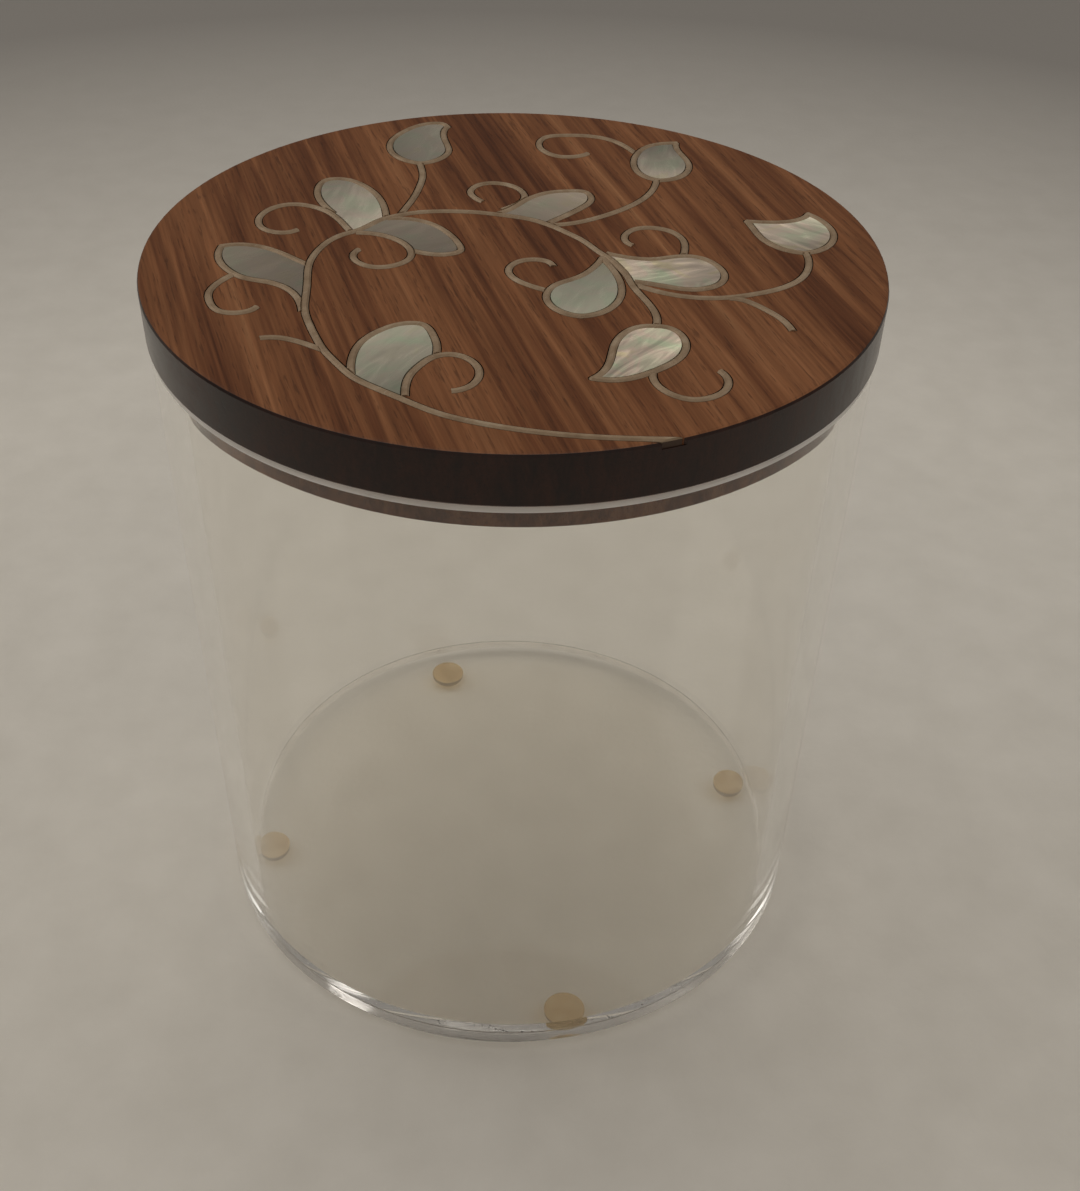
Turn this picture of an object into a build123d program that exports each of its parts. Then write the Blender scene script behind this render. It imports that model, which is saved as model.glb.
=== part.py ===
from build123d import *
import math
import os

# Lidded clear acrylic yarn jar with an inlaid wooden lid.
# Millimetres, +Z up, front towards -Y.  The origin is on the surface that the feet stand on,
# under the middle of the jar.

# Feet
FOOT_RADIUS = 4.8
FOOT_HEIGHT = 3.0
FOOT_FLAT_RADIUS = 2.6
FOOT_SKIRT = 0.8
FOOT_SHOULDER = (3.9, 0.75)
# Distance from the jar's axis and angle in degrees: the feet are stuck on by hand, not quite evenly
FOOT_SPOTS = {"front": (65.0, -78.2), "right": (65.5, 11.6), "back": (63.0, 108.5), "left": (66.0, 190.6)}

# Jar: a tube welded on top of a disc of the same diameter
JAR_RADIUS = 75.0
WALL = 5.0
BASE_THICKNESS = 4.0
BASE_EDGE = 0.3
TUBE_LENGTH = 152.0
RIM_BEVEL_HEIGHT = 1.2
RIM_BEVEL_WIDTH = 0.6

# Lid: one turned board, with a plug that drops into the tube
LID_RADIUS = 75.4
LID_THICKNESS = 10.8
PLUG_DEPTH = 7.0
PLUG_CLEARANCE = 0.5
LID_TOP_EASE = 0.7
LID_TOP_ARRIS = 0.2
LID_BOTTOM_EASE = 0.4

# Inlay: metal strips on edge and slices of shell, let into the top of the lid
STRIP_WIDTH = 1.4
STRIP_HEIGHT = 1.8
STRIP_PROUD = 0.3
STRIP_EASE = 0.35
SHELL_THICKNESS = 1.6
GLUE_GAP = 0.2
SHELL_GAP = 0.15
STRIP_GAP = 0.08
CORNER_BULGE = 0.06
STRIP_END_INSET = 0.2

BASE_BOTTOM = FOOT_HEIGHT
BASE_TOP = BASE_BOTTOM + BASE_THICKNESS
RIM = BASE_TOP + TUBE_LENGTH
LID_TOP = RIM + LID_THICKNESS
INLAY_FLOOR = LID_TOP + STRIP_PROUD - STRIP_HEIGHT

# Centre lines of the strips, seen from above: x to the right, y to the back.
# The two main stems and the three branches that carry the far leaves
STEMS = {
    "stem_lower": [[(30.0, -70.3), (20.0, -70.1), (12.0, -69.6), (4.0, -68.4), (-5.6, -65.9),
                    (-13.0, -62.8), (-19.6, -58.2), (-24.5, -54.6), (-28.8, -50.8), (-31.8, -46.4),
                    (-34.4, -42.1), (-36.6, -37.0), (-38.6, -31.2), (-39.9, -26.0), (-40.3, -20.0),
                    (-40.8, -13.0), (-41.1, -7.0), (-40.2, -1.5), (-37.8, 4.0), (-34.0, 7.6)]],
    "stem_upper": [[(-34.0, 7.6), (-31.1, 10.2), (-28.4, 13.6), (-24.8, 16.1), (-19.9, 17.9),
                    (-13.8, 18.5), (-7.7, 18.1), (-2.0, 16.8), (3.1, 15.1), (7.4, 12.2),
                    (11.0, 8.7), (14.5, 4.6), (17.1, 0.2), (19.0, -2.6), (20.9, -6.6),
                    (22.2, -10.2), (23.0, -13.8), (24.2, -17.4), (25.8, -21.6), (26.9, -25.8),
                    (26.8, -30.2)]],
    "branch_a": [[(-24.4, 16.6), (-23.2, 20.8), (-22.0, 25.5), (-21.1, 31.0), (-20.7, 36.5),
                  (-21.1, 40.5), (-21.6, 43.2)]],
    "branch_g": [[(8.0, 12.6), (12.2, 13.6), (17.0, 16.2), (22.4, 20.4), (26.8, 25.2),
                  (29.8, 30.6), (31.2, 36.0)]],
    "branch_h": [[(23.6, -14.0), (27.6, -16.6), (33.0, -18.7), (40.0, -19.1), (46.5, -17.4),
                  (52.4, -14.6), (57.0, -10.2), (59.3, -4.8), (59.6, 0.9)]],
}

# Curls that run along a leaf before they leave it, so they also edge that leaf
EDGING_CURLS = {
    "curl_b": [[(-34.3, 8.2), (-36.2, 12.0), (-38.8, 16.2), (-43.0, 19.7), (-48.5, 20.6),
                (-52.6, 17.5), (-53.8, 12.5), (-51.6, 8.1), (-48.0, 6.9), (-45.2, 8.4)]],
    "curl_c": [[(-33.0, 7.4), (-28.5, 6.8), (-24.6, 4.6), (-21.6, 0.6), (-21.2, -3.6),
                (-23.8, -7.0), (-27.8, -8.1), (-31.2, -6.3), (-32.7, -3.0), (-31.7, -0.3)]],
    "curl_e": [[(-19.0, -57.4), (-19.1, -54.0), (-18.6, -50.2), (-16.9, -46.4), (-14.5, -43.4),
                (-11.6, -42.5), (-8.7, -43.7), (-6.6, -46.8), (-6.3, -50.3), (-7.8, -53.6),
                (-11.0, -55.4)]],
}

# Each leaf's own strip, in arcs that meet at the leaf's points
LEAF_EDGES = {
    "a": [[(-21.5, 43.6), (-26.0, 46.0), (-28.9, 51.5), (-28.6, 57.5), (-25.6, 63.0),
           (-21.2, 66.8), (-18.0, 67.2), (-16.3, 65.4)],
          [(-16.3, 65.4), (-17.0, 60.0), (-16.0, 54.8), (-15.5, 50.5), (-17.6, 46.0),
           (-21.5, 43.6)]],
    "b": [[(-38.4, 16.5), (-41.7, 22.4), (-43.1, 29.0), (-41.6, 33.6), (-38.6, 34.3),
           (-33.4, 31.2), (-29.5, 25.0), (-27.3, 15.2)]],
    "c": [[(-20.8, -0.6), (-18.0, -1.7), (-13.6, -1.9), (-11.3, -0.4), (-11.6, 3.0),
           (-14.0, 8.0), (-17.6, 12.1), (-22.0, 14.2), (-27.0, 14.2)]],
    "d": [[(-41.2, -7.5), (-44.2, -5.0), (-49.0, -1.2), (-54.0, 0.9), (-59.6, 0.2)],
          [(-59.6, 0.2), (-59.3, -5.5), (-56.6, -10.4), (-53.0, -13.6), (-48.2, -15.2),
           (-44.2, -17.8), (-41.6, -22.0), (-40.3, -27.0)]],
    "e": [[(-14.2, -43.0), (-14.2, -39.6), (-15.2, -35.0), (-17.3, -31.4), (-20.2, -31.1),
           (-24.8, -33.7), (-28.0, -38.0), (-29.3, -43.5), (-29.0, -50.2)]],
    "f": [[(-4.2, 17.6), (-1.0, 20.2), (2.3, 24.9), (6.6, 28.5), (12.0, 29.8), (15.4, 29.2),
           (16.4, 26.4), (13.8, 20.9), (9.8, 16.4), (6.6, 13.0)]],
    "g": [[(32.0, 36.3), (28.4, 38.8), (26.7, 44.5), (27.6, 50.6), (30.8, 55.6), (34.2, 57.2),
           (37.2, 57.6)],
          [(37.2, 57.6), (37.6, 52.5), (39.2, 46.0), (37.6, 39.6), (32.0, 36.3)]],
    "h": [[(59.5, 1.1), (55.5, 2.4), (51.6, 7.0), (50.2, 11.5), (49.2, 15.7)],
          [(49.2, 15.7), (54.0, 15.4), (58.2, 16.0), (62.7, 19.8)],
          [(62.7, 19.8), (65.7, 15.5), (66.7, 10.0), (64.4, 4.2), (59.5, 1.1)]],
    "i": [[(18.6, -0.4), (23.6, -2.4), (28.0, -2.8), (33.0, -1.4), (37.4, -1.8), (40.6, -5.0),
           (41.8, -9.2), (40.2, -13.4), (35.6, -15.7), (29.6, -14.6), (23.6, -12.8)]],
    "j": [[(17.6, -2.6), (15.6, -7.0), (12.0, -11.6), (7.8, -14.8), (6.1, -19.6), (8.2, -25.0),
           (12.6, -27.3)],
          [(12.6, -27.3), (17.2, -25.2), (20.3, -20.0), (20.9, -14.0), (19.7, -8.0),
           (17.6, -2.6)]],
    "k": [[(26.5, -30.9), (21.8, -32.2), (18.8, -37.0), (17.6, -43.0), (14.1, -50.4)],
          [(14.1, -50.4), (20.0, -50.5), (25.2, -47.6), (30.2, -42.6), (31.8, -37.0),
           (30.2, -32.4), (26.5, -30.9)]],
}

# Where a leaf's own strip is open, its shell is closed by these lines, which lie under the
# stem or the curl beside it
LEAF_CLOSINGS = {
    "b": [[(-27.3, 15.2), (-30.6, 10.8), (-34.0, 7.8)],
          [(-34.0, 7.8), (-36.2, 12.0), (-38.4, 16.5)]],
    "c": [[(-27.0, 14.2), (-30.2, 11.2), (-33.0, 7.6)],
          [(-33.0, 7.6), (-28.5, 6.8), (-24.6, 4.6), (-20.8, -0.6)]],
    "d": [[(-40.3, -27.0), (-40.2, -19.0), (-40.7, -13.0), (-41.2, -7.5)]],
    "e": [[(-29.0, -50.2), (-24.5, -54.6), (-19.0, -58.0)],
          [(-19.0, -58.0), (-18.6, -50.2), (-16.9, -46.4), (-14.2, -43.0)]],
    "f": [[(6.6, 13.0), (3.0, 15.0), (-1.0, 16.5), (-4.2, 17.6)]],
    "i": [[(23.6, -12.8), (22.2, -10.0), (20.9, -6.6), (18.6, -0.4)]],
}

# Curls and tendrils that start on a finished leaf or stem
FREE_CURLS = {
    "curl_d": [[(-55.6, -12.3), (-57.6, -15.2), (-59.0, -19.5), (-58.2, -23.8), (-55.6, -27.4),
                (-52.0, -27.8), (-49.1, -25.4)]],
    "curl_f": [[(-3.0, 19.6), (0.0, 22.4), (1.9, 26.2), (1.0, 30.0), (-1.8, 32.6), (-5.4, 33.4),
                (-8.6, 31.9), (-9.9, 28.8), (-8.8, 25.6), (-7.1, 23.6)]],
    "curl_g": [[(27.4, 51.4), (25.2, 55.4), (21.6, 59.2), (16.8, 61.1), (11.0, 61.2),
                (6.8, 59.9), (5.3, 56.4), (6.4, 51.8), (9.8, 48.8), (13.6, 48.9), (16.4, 50.8)]],
    "curl_i": [[(34.2, -1.0), (34.9, 3.0), (34.6, 7.0), (32.6, 10.2), (28.6, 11.9),
                (24.8, 11.0), (22.7, 7.8), (22.9, 5.2), (24.2, 3.4)]],
    "curl_j": [[(6.0, -16.9), (2.6, -14.8), (-0.3, -11.8), (-1.3, -8.4), (0.2, -5.1),
                (3.4, -3.7), (6.4, -4.4), (7.7, -6.6)]],
    "curl_k": [[(24.9, -48.2), (25.2, -51.6), (27.4, -55.2), (31.2, -57.2), (35.0, -56.2),
                (37.8, -53.0), (38.2, -49.8), (37.1, -47.2)]],
    "tendril_d": [[(-46.9, -37.5), (-43.6, -37.2), (-39.6, -38.6), (-35.0, -41.4)]],
    "tendril_h": [[(41.6, -19.2), (44.6, -20.0), (47.6, -22.8), (50.6, -26.8), (52.4, -32.0)]],
}


def turned(profile):
    """A solid of revolution about Z from (radius, height) points."""
    outline = Polygon(*profile, align=None)
    return revolve(Plane.XZ * outline, Axis.Z)


def foot():
    """A soft bumper, stuck under the disc by its wide face and domed down to a small flat."""
    skirt_bottom = FOOT_HEIGHT - FOOT_SKIRT
    outline = make_face([
        Line((0, 0), (FOOT_FLAT_RADIUS, 0)),
        ThreePointArc((FOOT_FLAT_RADIUS, 0), FOOT_SHOULDER, (FOOT_RADIUS, skirt_bottom)),
        Line((FOOT_RADIUS, skirt_bottom), (FOOT_RADIUS, FOOT_HEIGHT)),
        Line((FOOT_RADIUS, FOOT_HEIGHT), (0, FOOT_HEIGHT)),
        Line((0, FOOT_HEIGHT), (0, 0)),
    ])
    return revolve(Plane.XZ * outline, Axis.Z)


def base_disc():
    """The jar's floor, with lightly broken edges."""
    return turned([
        (0, BASE_BOTTOM),
        (JAR_RADIUS - BASE_EDGE, BASE_BOTTOM),
        (JAR_RADIUS, BASE_BOTTOM + BASE_EDGE),
        (JAR_RADIUS, BASE_TOP),
        (0, BASE_TOP),
    ])


def jar_tube():
    """The clear wall, with a narrow polished bevel round the outside of its rim."""
    bore = JAR_RADIUS - WALL
    return turned([
        (bore, BASE_TOP),
        (JAR_RADIUS, BASE_TOP),
        (JAR_RADIUS, RIM - RIM_BEVEL_HEIGHT),
        (JAR_RADIUS - RIM_BEVEL_WIDTH, RIM),
        (bore, RIM),
    ])


def lid_blank():
    """The wooden lid before its pocket is cut: a board on the rim and a plug in the bore."""
    plug_radius = JAR_RADIUS - WALL - PLUG_CLEARANCE
    plug_bottom = RIM - PLUG_DEPTH
    return turned([
        (0, plug_bottom),
        (plug_radius - LID_BOTTOM_EASE, plug_bottom),
        (plug_radius, plug_bottom + LID_BOTTOM_EASE),
        (plug_radius, RIM),
        (LID_RADIUS - LID_BOTTOM_EASE, RIM),
        (LID_RADIUS, RIM + LID_BOTTOM_EASE),
        (LID_RADIUS, LID_TOP - LID_TOP_EASE),
        (LID_RADIUS - LID_TOP_ARRIS, LID_TOP - LID_TOP_ARRIS),
        (LID_RADIUS - LID_TOP_EASE, LID_TOP),
        (0, LID_TOP),
    ])


def strip_profile():
    """The strip's section, with eased top corners, standing on the pocket's floor."""
    half = STRIP_WIDTH / 2
    shoulder = STRIP_HEIGHT - STRIP_EASE
    crown = half - STRIP_EASE
    return Polygon((-half, 0), (half, 0), (half, shoulder), (crown, STRIP_HEIGHT),
                   (-crown, STRIP_HEIGHT), (-half, shoulder), align=None)


def bent_strip(points):
    """One arc of strip, swept along a curve through its points."""
    path = Spline(*points)
    along = path % 0
    start = Plane(origin=path @ 0, x_dir=Vector(0, 0, 1).cross(along), z_dir=along)
    return Pos(0, 0, INLAY_FLOOR) * sweep(start * strip_profile(), path=path)


def corner_peg(point):
    """The rounded fold where two arcs of a strip meet."""
    radius = STRIP_WIDTH / 2 + CORNER_BULGE
    peg = turned([
        (0, 0),
        (radius, 0),
        (radius, STRIP_HEIGHT - STRIP_EASE),
        (radius - STRIP_EASE, STRIP_HEIGHT),
        (0, STRIP_HEIGHT),
    ])
    return Pos(point[0], point[1], INLAY_FLOOR) * peg


def corners(arcs):
    """The points where one arc of a strip ends and the next begins."""
    joints = [arc[0] for arc in arcs[1:]]
    if arcs[0][0] == arcs[-1][-1]:
        joints.append(arcs[0][0])
    return joints


def strip(arcs):
    """A whole strip: its arcs, with a rounded fold at each corner."""
    pieces = [bent_strip(arc) for arc in arcs] + [corner_peg(point) for point in corners(arcs)]
    whole = pieces[0]
    for piece in pieces[1:]:
        whole = whole + piece
    return whole


def channel(arcs, gap):
    """The room that a strip takes with a gap on both sides: one solid for each arc and fold."""
    depth = 2 * STRIP_HEIGHT
    runs = [extrude(trace(Spline(*arc), line_width=STRIP_WIDTH + 2 * gap), depth) for arc in arcs]
    fold_radius = STRIP_WIDTH / 2 + CORNER_BULGE + gap
    folds = [Pos(point[0], point[1], depth / 2) * Cylinder(fold_radius, depth)
             for point in corners(arcs)]
    return [Pos(0, 0, INLAY_FLOOR) * room for room in runs + folds]


def leaf_face(letter):
    """The flat shape inside a leaf's edge, out to the middle of its strip."""
    arcs = LEAF_EDGES[letter] + LEAF_CLOSINGS.get(letter, [])
    return make_face([Spline(*arc) for arc in arcs])


def near(first, second):
    """Whether two solids' boxes meet in plan."""
    a = first.bounding_box()
    b = second.bounding_box()
    return (a.min.X < b.max.X and b.min.X < a.max.X and
            a.min.Y < b.max.Y and b.min.Y < a.max.Y)


def largest(shape):
    """A shape's main solid, without the thin slivers that a cut leaves beside it."""
    return max(shape.solids(), key=lambda solid: solid.volume)


def trimmed(blank, rooms):
    """What is left of a piece once the rooms of its neighbours are cut away."""
    tools = [room for room in rooms if near(blank, room)]
    return largest(blank - tools if tools else blank)


def strips():
    """Every metal strip, laid in order: each is trimmed where it meets one laid before it."""
    laid = {}
    rooms = []
    within_lid = Pos(0, 0, LID_TOP) * Cylinder(LID_RADIUS - STRIP_END_INSET, 4 * STRIP_HEIGHT)
    leaf_strips = {"leaf_strip_" + letter: arcs for letter, arcs in LEAF_EDGES.items()}
    for name, arcs in {**STEMS, **EDGING_CURLS, **leaf_strips, **FREE_CURLS}.items():
        laid[name] = trimmed(strip(arcs) & within_lid, rooms)
        rooms += channel(arcs, STRIP_GAP)
    return laid


def shells():
    """The eleven slices of shell, each cut to fit inside the strips round it."""
    rooms = []
    for arcs in [*STEMS.values(), *EDGING_CURLS.values(), *LEAF_EDGES.values()]:
        rooms += channel(arcs, SHELL_GAP)
    cut = {}
    for letter in LEAF_EDGES:
        blank = Pos(0, 0, INLAY_FLOOR) * extrude(leaf_face(letter), SHELL_THICKNESS)
        cut["shell_leaf_" + letter] = trimmed(blank, rooms)
    return cut


def pocket_outline():
    """The flat shape let into the lid: each leaf, and each strip with its glue gaps."""
    width = STRIP_WIDTH + 2 * GLUE_GAP
    fold = Circle(width / 2 + CORNER_BULGE)
    shapes = [leaf_face(letter) for letter in LEAF_EDGES]
    for arcs in [*STEMS.values(), *EDGING_CURLS.values(), *LEAF_EDGES.values(),
                 *FREE_CURLS.values()]:
        shapes += [trace(Spline(*arc), line_width=width) for arc in arcs]
        shapes += [Pos(*point) * fold for point in corners(arcs)]
    return shapes[0] + shapes[1:]


def lid_board():
    """The lid with one connected pocket for all of its inlay."""
    pocket = Pos(0, 0, INLAY_FLOOR) * extrude(pocket_outline(), 2 * STRIP_HEIGHT)
    return largest(lid_blank() - pocket)


def build():
    """Every node of the jar and its lid, by name."""
    nodes = {"jar_tube": jar_tube(), "base_disc": base_disc()}
    for side, (radius, angle) in FOOT_SPOTS.items():
        turn = math.radians(angle)
        nodes["foot_" + side] = Pos(radius * math.cos(turn), radius * math.sin(turn), 0) * foot()
    nodes["lid_board"] = lid_board()
    nodes.update(shells())
    nodes.update(strips())
    return nodes


os.makedirs("parts", exist_ok=True)
for name, shape in build().items():
    export_step(shape, os.path.join("parts", name + ".step"))
    print(name, round(shape.volume, 1))
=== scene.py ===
import math

import bpy
from mathutils import Matrix, Vector


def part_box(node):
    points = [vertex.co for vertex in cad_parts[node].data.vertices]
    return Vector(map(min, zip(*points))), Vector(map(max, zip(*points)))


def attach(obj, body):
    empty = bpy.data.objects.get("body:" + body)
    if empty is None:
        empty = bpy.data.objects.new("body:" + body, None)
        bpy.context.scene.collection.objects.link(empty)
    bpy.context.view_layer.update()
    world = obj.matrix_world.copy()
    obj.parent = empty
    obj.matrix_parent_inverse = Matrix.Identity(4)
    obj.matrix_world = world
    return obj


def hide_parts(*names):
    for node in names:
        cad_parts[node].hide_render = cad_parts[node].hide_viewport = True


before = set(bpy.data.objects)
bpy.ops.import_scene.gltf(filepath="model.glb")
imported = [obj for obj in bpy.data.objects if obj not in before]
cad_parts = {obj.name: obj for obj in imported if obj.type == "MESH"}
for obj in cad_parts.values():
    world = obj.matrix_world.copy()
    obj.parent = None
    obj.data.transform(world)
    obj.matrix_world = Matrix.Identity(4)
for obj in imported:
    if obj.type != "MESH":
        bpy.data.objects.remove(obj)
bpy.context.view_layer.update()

MM = 0.001

# Sizes of the CAD pieces
TUBE_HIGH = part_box("jar_tube")[1]
DISC_LOW, DISC_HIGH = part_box("base_disc")
LID_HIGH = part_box("lid_board")[1]
WALL = 5.0 * MM
JAR_R = TUBE_HIGH.x
BORE_R = JAR_R - WALL
RIM_Z = TUBE_HIGH.z
DISC_Z = DISC_LOW.z
FLOOR_TOP_Z = DISC_HIGH.z
LID_R = LID_HIGH.x
LID_TOP_Z = LID_HIGH.z
FOOT_NODES = ("foot_front", "foot_right", "foot_back", "foot_left")
STRIP_NAMES = ("stem", "branch", "curl", "leaf_strip", "tendril")

# The turned acrylic
ACRYLIC_INDEX = 1.515
AROUND = 288  # faces round a turned piece
CORNER_STEPS = 4  # faces across a rounded corner
HOLD = 0.04 * MM  # keeps the flat faces beside a rounded corner flat
WELD_GROOVE = 0.22 * MM  # the broken edges that leave a fine groove round the weld
SHARP_ANGLE = 35  # in degrees; flatter edges are shaded smooth
SAME_PLACE = 0.001 * MM  # heights or radii closer than this are the same

# The lid
GRAIN_TURN = math.radians(-17.0)
LID_SIDE_R = LID_R - 0.25 * MM  # its turned side lies outside this
POCKET_R = LID_R - 0.85 * MM  # the pockets of the inlay lie inside this and between these heights
POCKET_LOW_Z, POCKET_HIGH_Z = LID_TOP_Z - 2.0 * MM, LID_TOP_Z - 0.06 * MM
STRIP_DARK_Z = LID_TOP_Z - 0.2 * MM  # a strip is dark below this

# For each leaf: tint, brightness, direction of the bands in radians, strength of the figure, the
# angle in degrees of the side given a painted highlight (painted shade opposite), and its strength
GREENISH, CREAM, BEIGE = (0.86, 0.85, 0.69), (0.90, 0.83, 0.69), (0.88, 0.77, 0.62)
SHELLS = {
    "a": (CREAM, 0.34, 0.3, 0.20, 20, 0.30),
    "b": (CREAM, 0.56, 0.2, 0.30, -40, 0.50),
    "c": (BEIGE, 0.31, 0.9, 0.20, 100, 0.25),
    "d": (BEIGE, 0.30, 0.8, 0.15, 150, 0.25),
    "e": (GREENISH, 0.50, 0.5, 0.35, 110, 0.50),
    "f": (BEIGE, 0.45, -0.9, 0.20, 60, 0.30),
    "g": (CREAM, 0.42, 0.1, 0.35, -90, 0.55),
    "h": (CREAM, 0.68, -1.0, 0.75, 95, 0.60),
    "i": (CREAM, 0.68, 1.3, 0.80, 170, 0.30),
    "j": (GREENISH, 0.48, 0.4, 0.20, -60, 0.35),
    "k": (CREAM, 0.72, 0.7, 1.00, 45, 0.45),
}


# ---------------------------------------------------------------- node helpers

def new_material(name):
    """An empty node material, with its tree and output."""
    material = bpy.data.materials.new(name)
    material.use_nodes = True
    tree = material.node_tree
    tree.nodes.clear()
    output = tree.nodes.new("ShaderNodeOutputMaterial")
    return material, tree, output


def node(tree, kind, **settings):
    """A shader node with its properties set."""
    made = tree.nodes.new("ShaderNode" + kind)
    for key, value in settings.items():
        setattr(made, key, value)
    return made


def put(tree, socket, value):
    """Gives an input its value: another node's output, a colour or a number."""
    if isinstance(value, bpy.types.NodeSocket):
        tree.links.new(value, socket)
    elif isinstance(value, tuple):
        socket.default_value = (*value, 1)
    else:
        socket.default_value = value


def object_coords(tree, scale, turn=0.0):
    """Object coordinates, turned about Z and scaled."""
    coords = node(tree, "TexCoord")
    turned = node(tree, "Mapping")
    turned.inputs["Rotation"].default_value = (0, 0, turn)
    tree.links.new(coords.outputs["Object"], turned.inputs["Vector"])
    scaled = node(tree, "Mapping")
    scaled.inputs["Scale"].default_value = scale
    tree.links.new(turned.outputs["Vector"], scaled.inputs["Vector"])
    return scaled.outputs["Vector"]


def noise(tree, vector, detail=3.0, roughness=0.5, distortion=0.0):
    """A noise texture's value over a vector."""
    made = node(tree, "TexNoise")
    made.inputs["Scale"].default_value = 1.0
    made.inputs["Detail"].default_value = detail
    made.inputs["Roughness"].default_value = roughness
    made.inputs["Distortion"].default_value = distortion
    tree.links.new(vector, made.inputs["Vector"])
    return made.outputs["Fac"]


def ramp(tree, value, stops, smooth=False):
    """A colour ramp from (position, colour) stops."""
    made = node(tree, "ValToRGB")
    made.color_ramp.interpolation = "EASE" if smooth else "LINEAR"
    elements = made.color_ramp.elements
    while len(elements) < len(stops):
        elements.new(0.5)
    for element, (position, colour) in zip(elements, stops):
        element.position = position
        element.color = (*colour, 1)
    tree.links.new(value, made.inputs["Fac"])
    return made.outputs["Color"]


def remap(tree, value, low, high, over=(0.0, 1.0)):
    """A value that goes from low to high as another goes over its own range, clamped."""
    made = node(tree, "MapRange", clamp=True)
    made.inputs["From Min"].default_value, made.inputs["From Max"].default_value = over
    made.inputs["To Min"].default_value = low
    made.inputs["To Max"].default_value = high
    tree.links.new(value, made.inputs["Value"])
    return made.outputs["Result"]


def mix(tree, factor, first, second, blend="MIX"):
    """A mix of two colours."""
    made = node(tree, "Mix", data_type="RGBA", blend_type=blend)
    put(tree, made.inputs[0], factor)
    put(tree, made.inputs[6], first)
    put(tree, made.inputs[7], second)
    return made.outputs[2]


def math_node(tree, operation, first, second):
    """One math operation on two values."""
    made = node(tree, "Math", operation=operation)
    put(tree, made.inputs[0], first)
    put(tree, made.inputs[1], second)
    return made.outputs[0]


def bump(tree, height, strength, distance):
    """A bump normal from a height."""
    made = node(tree, "Bump")
    made.inputs["Strength"].default_value = strength
    made.inputs["Distance"].default_value = distance
    tree.links.new(height, made.inputs["Height"])
    return made.outputs["Normal"]


def principled(tree, output, **inputs):
    """The main shader with its inputs set."""
    shader = node(tree, "BsdfPrincipled")
    for key, value in inputs.items():
        put(tree, shader.inputs[key.replace("_", " ")], value)
    tree.links.new(shader.outputs[0], output.inputs["Surface"])
    return shader


def mix_shaders(tree, output, factor, first, second):
    """Shows the second shader where the factor is one, and the first elsewhere."""
    both = node(tree, "MixShader")
    tree.links.new(factor, both.inputs[0])
    tree.links.new(first.outputs[0], both.inputs[1])
    tree.links.new(second.outputs[0], both.inputs[2])
    tree.links.new(both.outputs[0], output.inputs["Surface"])


def let_lamps_through(tree, output, shader, tint):
    """Swaps the shader for a tinted pass-through on shadow rays."""
    passed = node(tree, "BsdfTransparent")
    put(tree, passed.inputs["Color"], tint)
    light = node(tree, "LightPath")
    mix_shaders(tree, output, light.outputs["Is Shadow Ray"], shader, passed)


def lid_place(tree):
    """A point's height above the floor and its distance from the jar's axis, in metres, at rest."""
    coords = node(tree, "TexCoord")
    split = node(tree, "SeparateXYZ")
    tree.links.new(coords.outputs["Object"], split.inputs[0])
    flat = node(tree, "CombineXYZ")
    tree.links.new(split.outputs["X"], flat.inputs["X"])
    tree.links.new(split.outputs["Y"], flat.inputs["Y"])
    length = node(tree, "VectorMath", operation="LENGTH")
    tree.links.new(flat.outputs[0], length.inputs[0])
    return split.outputs["Z"], length.outputs["Value"]


# ---------------------------------------------------------------- materials

def acrylic():
    """Clear acrylic, very faintly wavy; lamps shine through it."""
    material, tree, output = new_material("acrylic")
    waves = noise(tree, object_coords(tree, (25, 25, 12)))
    haze = remap(tree, waves, 0.0, 0.012, over=(0.45, 0.7))
    clear = principled(tree, output, Base_Color=(0.99, 0.983, 0.962), Roughness=haze,
                       IOR=ACRYLIC_INDEX, Transmission_Weight=1.0)
    let_lamps_through(tree, output, clear, (0.955, 0.946, 0.928))
    return material


def cut_edge(name, milk, roughness, passes):
    """Acrylic where it was sawn and scraped: a milky, slightly rough face with fine lines round it.

    milk is the share that scatters light, roughness the blur of the rest, and passes how much
    lamplight gets through."""
    material, tree, output = new_material(name)
    lines = noise(tree, object_coords(tree, (90, 90, 2600)), roughness=0.6)
    patches = noise(tree, object_coords(tree, (60, 60, 60)), detail=2.0)
    clearness = remap(tree, patches, 1.0 - 1.15 * milk, 1.0 - 0.85 * milk, over=(0.35, 0.65))
    blur = remap(tree, lines, 0.6 * roughness, 1.4 * roughness, over=(0.35, 0.65))
    face = principled(tree, output, Base_Color=(0.96, 0.925, 0.87), Roughness=blur,
                      IOR=ACRYLIC_INDEX, Transmission_Weight=clearness,
                      Normal=bump(tree, lines, 0.35, 0.08 * MM))
    let_lamps_through(tree, output, face, (passes, passes, passes))
    return material


def weld():
    """The solvent weld between tube and disc: no surface, only small trapped bubbles."""
    material, tree, output = new_material("weld")
    cells = node(tree, "TexVoronoi", feature="F1")
    cells.inputs["Scale"].default_value = 1.0
    tree.links.new(object_coords(tree, (900, 900, 900)), cells.inputs["Vector"])
    patches = noise(tree, object_coords(tree, (140, 140, 140)), detail=2.0)
    size = remap(tree, patches, 0.05, 0.3, over=(0.45, 0.68))
    bubble = math_node(tree, "LESS_THAN", cells.outputs["Distance"], size)
    passed = node(tree, "BsdfTransparent")
    speck = node(tree, "BsdfGlossy")
    put(tree, speck.inputs["Color"], (0.75, 0.73, 0.68))
    put(tree, speck.inputs["Roughness"], 0.3)
    mix_shaders(tree, output, bubble, passed, speck)
    return material


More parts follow.
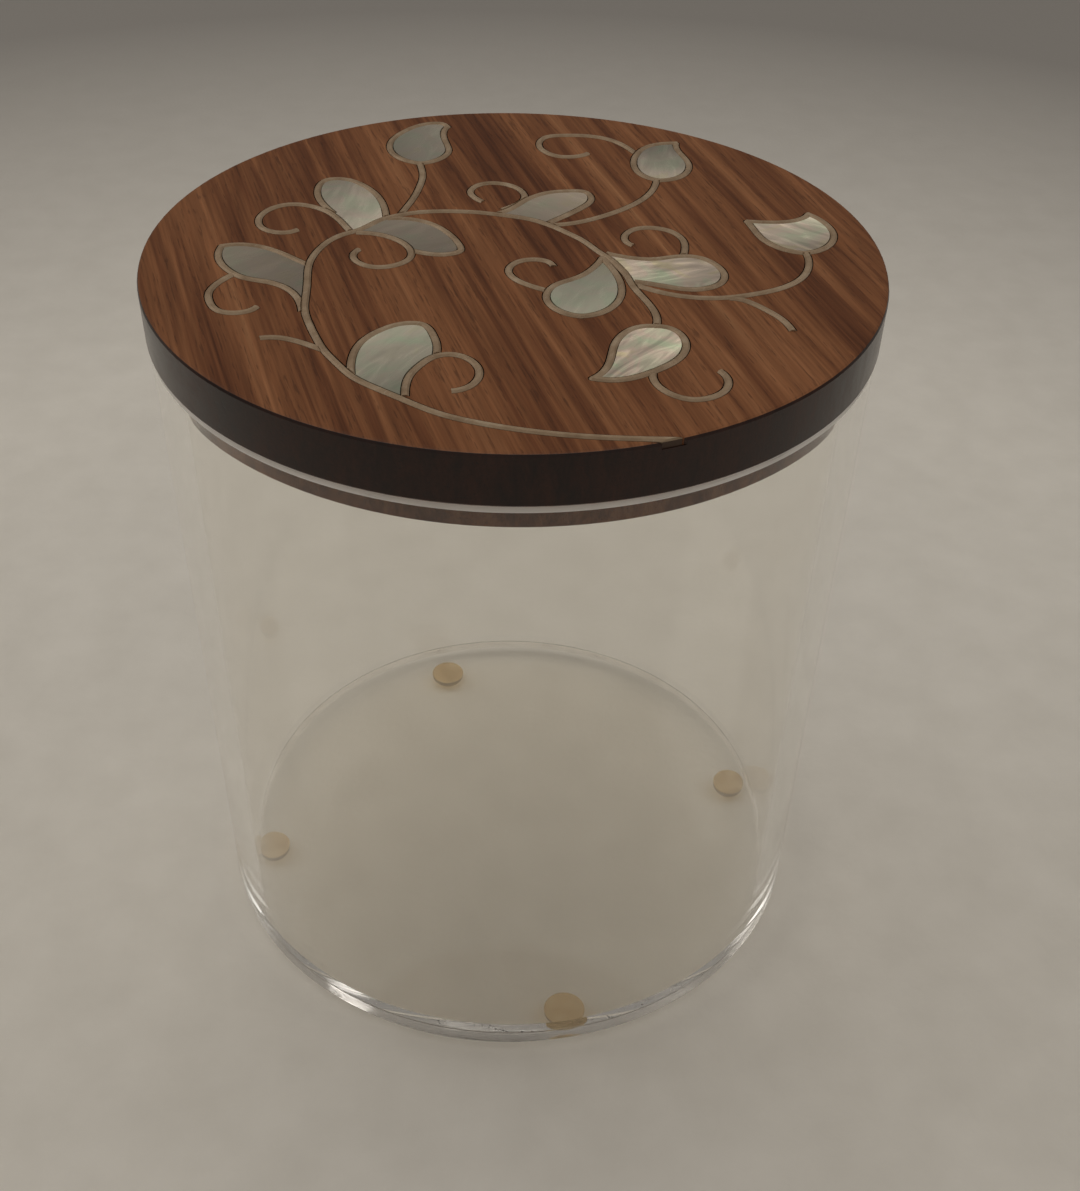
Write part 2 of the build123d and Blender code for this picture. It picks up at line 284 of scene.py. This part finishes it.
def bumper():
    """Soft translucent amber polyurethane."""
    material, tree, output = new_material("bumper")
    cloud = noise(tree, object_coords(tree, (300, 300, 300)))
    colour = ramp(tree, cloud, [(0.3, (0.79, 0.695, 0.54)), (0.7, (0.87, 0.80, 0.665))])
    face = principled(tree, output, Base_Color=colour, Roughness=remap(tree, cloud, 0.06, 0.16),
                      IOR=1.45, Transmission_Weight=0.75)
    let_lamps_through(tree, output, face, (0.75, 0.66, 0.50))
    return material


def wood_grain(tree, scale, **settings):
    """Noise that lies along the lid's grain, scaled across it, along it and through the board."""
    return noise(tree, object_coords(tree, scale, GRAIN_TURN), **settings)


def planed_colour(tree, broad, streaks, fibres, pore):
    """The wood's colour on a planed face, from its broad figure down to its pores."""
    blend = math_node(tree, "ADD", math_node(tree, "MULTIPLY", broad, 0.42),
                      math_node(tree, "MULTIPLY", streaks, 0.58))
    base = ramp(tree, blend, [
        (0.36, (0.088, 0.028, 0.010)),
        (0.44, (0.150, 0.054, 0.021)),
        (0.51, (0.210, 0.084, 0.034)),
        (0.58, (0.265, 0.112, 0.048)),
        (0.68, (0.345, 0.165, 0.076)),
    ])
    fibre_shade = ramp(tree, fibres, [(0.3, (0.78, 0.76, 0.74)), (0.7, (1.16, 1.14, 1.12))])
    shaded = mix(tree, 1.0, base, fibre_shade, "MULTIPLY")
    return mix(tree, math_node(tree, "MULTIPLY", pore, 0.45), shaded, (0.045, 0.016, 0.007))


def wood():
    """Straight-grained red-brown wood with dark streaks and fine pores, thinly varnished.

    Across the grain it changes every few millimetres, along the grain hardly at all. The turned
    side is glossier and painted much darker, partly for its end grain and partly as painted shade,
    and the pocket under the inlay is stained dark by the glue."""
    material, tree, output = new_material("varnished_wood")
    broad = wood_grain(tree, (75, 4, 30), distortion=0.3)
    streaks = wood_grain(tree, (360, 9, 120), detail=4.0, roughness=0.6, distortion=0.5)
    fibres = wood_grain(tree, (1500, 40, 700), roughness=0.6)
    pores = wood_grain(tree, (2400, 150, 2400), detail=2.0)
    pore = remap(tree, pores, 0.0, 1.0, over=(0.60, 0.68))
    planed = planed_colour(tree, broad, streaks, fibres, pore)

    height, radius = lid_place(tree)
    side = math_node(tree, "GREATER_THAN", radius, LID_SIDE_R)
    # The turned side is painted much darker: partly its darker end grain, partly painted shade
    # where little light reaches it
    end_grain_and_painted_shade = mix(tree, side, planed, mix(tree, 1.0, planed, (0.11, 0.06, 0.048), "MULTIPLY"))
    below = math_node(tree, "LESS_THAN", height, POCKET_HIGH_Z)
    above = math_node(tree, "GREATER_THAN", height, POCKET_LOW_Z)
    inside = math_node(tree, "LESS_THAN", radius, POCKET_R)
    pocket = math_node(tree, "MULTIPLY", math_node(tree, "MULTIPLY", below, above), inside)
    colour = mix(tree, pocket, end_grain_and_painted_shade, (0.020, 0.011, 0.007))

    planed_rough = remap(tree, streaks, 0.50, 0.64, over=(0.3, 0.7))
    rough = math_node(tree, "SUBTRACT", planed_rough, math_node(tree, "MULTIPLY", side, 0.18))
    relief = math_node(tree, "SUBTRACT", math_node(tree, "MULTIPLY", fibres, 0.35), pore)
    principled(tree, output, Base_Color=colour, Roughness=rough, Specular_IOR_Level=0.15,
               Coat_Weight=remap(tree, side, 0.04, 0.55), Coat_Roughness=0.16, Coat_IOR=1.5,
               Normal=bump(tree, relief, 0.25, 0.06 * MM))
    return material


def strip_metal():
    """Matte grey-beige metal, sanded level and a little tarnished.

    Below the lid's face it is dark, which shows where the stem's end meets the lid's side."""
    material, tree, output = new_material("strip_metal")
    cloud = noise(tree, object_coords(tree, (260, 260, 260)), detail=4.0, roughness=0.6)
    sanding = noise(tree, object_coords(tree, (2600, 400, 900), 0.6), roughness=0.6)
    base = ramp(tree, cloud, [
        (0.3, (0.28, 0.19, 0.115)),
        (0.55, (0.37, 0.265, 0.17)),
        (0.75, (0.45, 0.355, 0.25)),
    ])
    scratch = remap(tree, sanding, 0.0, 0.5, over=(0.58, 0.8))
    worn = mix(tree, scratch, base, (0.52, 0.46, 0.37))
    height = lid_place(tree)[0]
    below = math_node(tree, "LESS_THAN", height, STRIP_DARK_Z)
    colour = mix(tree, below, worn, (0.075, 0.045, 0.030))
    principled(tree, output, Base_Color=colour, Metallic=0.35,
               Roughness=remap(tree, cloud, 0.42, 0.62),
               Normal=bump(tree, sanding, 0.25, 0.03 * MM))
    return material


def shell(node_name, tint, glow, turn, figure, painted_light_side, painted_light_share):
    """Mother-of-pearl: cloudy growth bands with faint pink and green, under a polished face.

    tint is the slice's base colour, glow its brightness, turn the way its bands run and figure
    how strongly the bands and colours show. The last two arguments paint light on the leaf: a
    painted highlight towards a side at an angle in degrees and painted shade opposite, by a share."""
    material, tree, output = new_material(node_name)
    bands = noise(tree, object_coords(tree, (330, 70, 200), turn), roughness=0.55, distortion=1.2)
    clouds = noise(tree, object_coords(tree, (150, 150, 150), turn), distortion=0.8)
    lines = noise(tree, object_coords(tree, (1900, 140, 300), turn), detail=2.0, distortion=0.4)
    body = tuple(channel * glow for channel in tint)
    bright = tuple(min(1.0, channel * glow * (1 + 0.55 * figure)) for channel in tint)
    dull = tuple(channel * glow * (1 - 0.30 * figure) for channel in tint)
    base = ramp(tree, bands, [(0.32, dull), (0.5, body), (0.68, bright)], smooth=True)
    flash = ramp(tree, clouds, [
        (0.30, (0.84, 1.06, 0.88)),
        (0.45, (1.0, 1.02, 0.94)),
        (0.55, (1.10, 0.97, 0.96)),
        (0.70, (1.08, 1.0, 0.78)),
    ], smooth=True)
    flashed = mix(tree, 1.0, base, flash, "MULTIPLY")
    coloured = mix(tree, min(1.0, 0.25 + 0.75 * figure), base, flashed)
    striped = mix(tree, remap(tree, lines, 0.0, 0.22, over=(0.5, 0.75)), coloured, dull)
    # Painted highlight towards one side of the leaf and painted shade towards the other
    low, high = 1 - 0.7 * painted_light_share, 1 + 0.7 * painted_light_share
    painted_light_ramp = ramp(tree, across_leaf(tree, node_name, painted_light_side), [
        (0.1, (low,) * 3),
        (0.55, (1.0,) * 3),
        (0.85, (high,) * 3),
    ], smooth=True)
    shaded = mix(tree, 1.0, striped, painted_light_ramp, "MULTIPLY")
    principled(tree, output, Base_Color=shaded, Roughness=remap(tree, bands, 0.34, 0.22),
               Metallic=0.10, Coat_Weight=0.3, Coat_Roughness=0.14, Specular_IOR_Level=0.4,
               Normal=bump(tree, bands, 0.15, 0.15 * MM))
    return material


def across_leaf(tree, node_name, side):
    """A value that runs from 0 to 1 across a leaf, towards the side at an angle in degrees."""
    low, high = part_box(node_name)
    centre = (low + high) / 2
    reach = (high - low).xy.length / 2
    coords = node(tree, "TexCoord")
    offset = node(tree, "VectorMath", operation="SUBTRACT")
    offset.inputs[1].default_value = centre
    tree.links.new(coords.outputs["Object"], offset.inputs[0])
    along = node(tree, "VectorMath", operation="DOT_PRODUCT")
    angle = math.radians(side)
    along.inputs[1].default_value = (math.cos(angle) / reach, math.sin(angle) / reach, 0)
    tree.links.new(offset.outputs[0], along.inputs[0])
    return remap(tree, along.outputs["Value"], 0.0, 1.0, over=(-1.0, 1.0))


def pale_floor():
    """A pale, faintly mottled floor that turns grey well away from the jar."""
    material, tree, output = new_material("pale_floor")
    mottle = noise(tree, object_coords(tree, (60, 60, 60)))
    pebbles = noise(tree, object_coords(tree, (420, 420, 420)), detail=2.0)
    pale = ramp(tree, mottle, [(0.3, (0.72, 0.69, 0.635)), (0.7, (0.77, 0.74, 0.685))])
    coords = node(tree, "TexCoord")
    distance = node(tree, "VectorMath", operation="LENGTH")
    tree.links.new(coords.outputs["Object"], distance.inputs[0])
    far = remap(tree, distance.outputs["Value"], 0.0, 1.0, over=(0.28, 0.70))
    colour = mix(tree, far, pale, (0.29, 0.275, 0.259))
    principled(tree, output, Base_Color=colour, Roughness=0.75, Specular_IOR_Level=0.25,
               Normal=bump(tree, pebbles, 0.25, 0.5 * MM))
    return material


# ---------------------------------------------------------------- meshes

def corner_arc(before, corner, after, radius):
    """The points that round one corner of a profile, with one more on the flat at each end."""
    before, corner, after = Vector(before), Vector(corner), Vector(after)
    into = (before - corner).normalized()
    out = (after - corner).normalized()
    half = math.acos(max(-1.0, min(1.0, into.dot(out)))) / 2
    reach = radius / math.tan(half)
    start = corner + into * reach
    end = corner + out * reach
    arc = [(1 - t) ** 2 * start + 2 * t * (1 - t) * corner + t ** 2 * end
           for t in (i / CORNER_STEPS for i in range(CORNER_STEPS + 1))]
    held = [start + into * HOLD, *arc, end + out * HOLD]
    return [tuple(point) for point in held]


def rounded(profile, radii):
    """A closed profile with each corner rounded by its own radius."""
    points = []
    for i, (point, radius) in enumerate(zip(profile, radii)):
        if radius == 0:
            points.append(point)
        else:
            points += corner_arc(profile[i - 1], point, profile[(i + 1) % len(profile)], radius)
    return points


def turned_rings(profile):
    """The vertices of a turned profile, and for each of its points the ring of their indices."""
    verts, rings = [], []
    for radius, height in profile:
        if radius < SAME_PLACE:
            rings.append([len(verts)] * AROUND)
            verts.append((0, 0, height))
        else:
            rings.append(list(range(len(verts), len(verts) + AROUND)))
            verts += [(radius * math.cos(angle), radius * math.sin(angle), height)
                      for angle in (math.tau * k / AROUND for k in range(AROUND))]
    return verts, rings


def lathe(name, profile, slot_of, on_axis=False):
    """A turned piece from (radius, height) points: a closed outline, or one that ends on the axis.

    slot_of gives the material slot of a band of faces from the middle of its radius and height."""
    verts, rings = turned_rings(profile)
    faces, slots = [], []
    bands = len(profile) - 1 if on_axis else len(profile)
    for i in range(bands):
        after = (i + 1) % len(profile)
        slot = slot_of(*((p + q) / 2 for p, q in zip(profile[i], profile[after])))
        for k in range(AROUND):
            n = (k + 1) % AROUND
            corners = []
            for vertex in (rings[i][k], rings[i][n], rings[after][n], rings[after][k]):
                if vertex not in corners:
                    corners.append(vertex)
            if len(corners) > 2:
                faces.append(corners)
                slots.append(slot)
    mesh = bpy.data.meshes.new(name)
    mesh.from_pydata(verts, [], faces)
    mesh.polygons.foreach_set("material_index", slots)
    mesh.validate()
    mesh.update()
    piece = bpy.data.objects.new(name, mesh)
    bpy.context.scene.collection.objects.link(piece)
    return piece


# ---------------------------------------------------------------- pieces

def make_tube(materials):
    """The clear wall, with an outer bevel at its rim and softly broken edges.

    Its slots are the clear wall, the weld under it and the cut rim."""
    bevel_height, bevel_width = 1.2 * MM, 0.6 * MM
    arris, bevel_corner = 0.25 * MM, 0.12 * MM
    rim_slot_z = RIM_Z - bevel_height - 0.1 * MM
    outline = [
        (BORE_R, FLOOR_TOP_Z),
        (JAR_R, FLOOR_TOP_Z),
        (JAR_R, RIM_Z - bevel_height),
        (JAR_R - bevel_width, RIM_Z),
        (BORE_R, RIM_Z),
    ]

    def slot_of(_radius, height):
        if abs(height - FLOOR_TOP_Z) < SAME_PLACE:
            return 1
        return 2 if height > rim_slot_z else 0

    profile = rounded(outline, [0, WELD_GROOVE, arris, bevel_corner, arris])
    piece = lathe("tube_wall", profile, slot_of)
    finish_piece(piece, "jar", materials, ["jar_tube"])


def make_disc(materials):
    """The clear floor of the jar, its lower edge lightly rounded.

    Its slots are the clear faces, the weld on top of its border and the cut edge."""
    arris = 0.3 * MM
    edge_slot_r = JAR_R - 0.31 * MM
    outline = [
        (0, DISC_Z),
        (JAR_R, DISC_Z),
        (JAR_R, FLOOR_TOP_Z),
        (BORE_R, FLOOR_TOP_Z),
        (0, FLOOR_TOP_Z),
    ]

    def slot_of(radius, height):
        if radius > edge_slot_r:
            return 2
        return 1 if abs(height - FLOOR_TOP_Z) < SAME_PLACE and radius > BORE_R else 0

    profile = rounded(outline, [0, arris, WELD_GROOVE, 0, 0])
    piece = lathe("floor_disc", profile, slot_of, on_axis=True)
    finish_piece(piece, "jar", materials, ["base_disc"])


def finish_piece(piece, body, materials, nodes):
    """Materials, shading, body and the CAD nodes that a piece stands for."""
    for material in materials:
        piece.data.materials.append(material)
    piece.data.shade_smooth()
    piece.data.set_sharp_from_angle(angle=math.radians(SHARP_ANGLE))
    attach(piece, body)
    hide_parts(*nodes)


def paint(node_name, material):
    """Gives a carried-over CAD node its material."""
    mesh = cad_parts[node_name].data
    mesh.materials.clear()
    mesh.materials.append(material)


def build_object():
    """Every piece of the jar and its lid."""
    clear, joint, rubber, timber, metal = acrylic(), weld(), bumper(), wood(), strip_metal()
    make_tube([clear, joint, cut_edge("acrylic_rim", milk=1.0, roughness=0.35, passes=0.6)])
    make_disc([clear, joint, cut_edge("acrylic_edge", milk=0.12, roughness=0.07, passes=0.25)])
    for name in FOOT_NODES:
        paint(name, rubber)
    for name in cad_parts:
        if name == "lid_board":
            paint(name, timber)
        elif name.startswith("shell_leaf_"):
            paint(name, shell(name, *SHELLS[name[-1]]))
        elif name.startswith(STRIP_NAMES):
            paint(name, metal)


# ---------------------------------------------------------------- stage, light and camera

def make_floor():
    """A wide floor under the feet."""
    half = 6.0
    mesh = bpy.data.meshes.new("floor")
    mesh.from_pydata([(-half, -half, 0), (half, -half, 0), (half, half, 0), (-half, half, 0)], [],
                     [(0, 1, 2, 3)])
    floor = bpy.data.objects.new("floor", mesh)
    bpy.context.scene.collection.objects.link(floor)
    mesh.materials.append(pale_floor())


def area_light(name, place, target, size, power, colour):
    """A soft rectangular light aimed at a point."""
    data = bpy.data.lights.new(name, "AREA")
    data.shape = "RECTANGLE"
    data.size, data.size_y = size
    data.energy = power
    data.color = colour
    lamp = bpy.data.objects.new(name, data)
    lamp.location = place
    lamp.rotation_mode = "QUATERNION"
    lamp.rotation_quaternion = (Vector(target) - Vector(place)).to_track_quat("-Z", "Y")
    bpy.context.scene.collection.objects.link(lamp)


def make_lights():
    """Soft panels above and at both sides, and a small lamp that glints in the jar's cut edge."""
    area_light("overhead", place=(-0.15, 0.45, 1.50), target=(0, 0.02, 0.05), size=(1.0, 0.8),
               power=3.1, colour=(1.0, 0.96, 0.885))
    area_light("left_panel", place=(-1.30, 0.35, 0.95), target=(0, 0, 0.05), size=(1.1, 0.9),
               power=4.5, colour=(1.0, 0.96, 0.89))
    area_light("right_panel", place=(1.35, 0.25, 0.95), target=(0, 0, 0.05), size=(1.1, 0.9),
               power=3.0, colour=(1.0, 0.965, 0.91))
    area_light("glint", place=(0.51, 0.70, 1.23), target=(0, 0, 0.02), size=(0.15, 0.15),
               power=0.22, colour=(1.0, 0.97, 0.93))


def make_room():
    """A dim room, brightest overhead, with a glow at the front of the jar."""
    world = bpy.data.worlds.new("room")
    bpy.context.scene.world = world
    world.use_nodes = True
    tree = world.node_tree
    background = tree.nodes["Background"]
    coords = node(tree, "TexCoord")
    split = node(tree, "SeparateXYZ")
    tree.links.new(coords.outputs["Generated"], split.inputs[0])
    sky = ramp(tree, split.outputs["Z"], [
        (0.0, (0.17, 0.160, 0.148)),
        (0.22, (0.165, 0.156, 0.144)),
        (0.42, (0.13, 0.123, 0.113)),
        (0.75, (0.20, 0.188, 0.172)),
        (0.88, (0.27, 0.254, 0.232)),
        (1.0, (0.60, 0.565, 0.52)),
    ])
    front = remap(tree, split.outputs["Y"], 1.0, 0.0, over=(-0.9, 0.0))
    glow = mix(tree, front, (0.0, 0.0, 0.0), (0.17, 0.150, 0.132))
    room = mix(tree, 1.0, sky, glow, "ADD")
    tree.links.new(room, background.inputs["Color"])
    background.inputs["Strength"].default_value = 1.0


def make_camera():
    """The camera, to the front of the jar and well above it, with a slight roll."""
    distance = 413.35 * MM  # from the middle of the jar's underside
    elevation, yaw, pitch, roll = (math.radians(a) for a in (46.73, 1.496, 41.664, 1.532))
    place = Vector((0, -distance * math.cos(elevation), DISC_Z + distance * math.sin(elevation)))
    forward = Vector((math.sin(yaw) * math.cos(pitch), math.cos(yaw) * math.cos(pitch),
                      -math.sin(pitch)))
    level = Vector((math.cos(yaw), -math.sin(yaw), 0))
    upright = level.cross(forward)
    right = math.cos(roll) * level + math.sin(roll) * upright
    up = -math.sin(roll) * level + math.cos(roll) * upright
    data = bpy.data.cameras.new("camera")
    data.sensor_width = 36
    data.lens = 44.643627
    data.shift_y = 0.0745592
    camera = bpy.data.objects.new("camera", data)
    turn = Matrix((right, up, -forward)).transposed()
    camera.matrix_world = Matrix.Translation(place) @ turn.to_4x4()
    bpy.context.scene.collection.objects.link(camera)
    bpy.context.scene.camera = camera


def set_light_paths():
    """Enough bounces for light to run the whole width of the clear floor between its two faces."""
    cycles = bpy.context.scene.cycles
    cycles.max_bounces = 48
    cycles.transmission_bounces = 48
    cycles.glossy_bounces = 24
    cycles.transparent_max_bounces = 24


build_object()
make_floor()
make_lights()
make_room()
make_camera()
bpy.context.scene.view_settings.view_transform = "Standard"
set_light_paths()
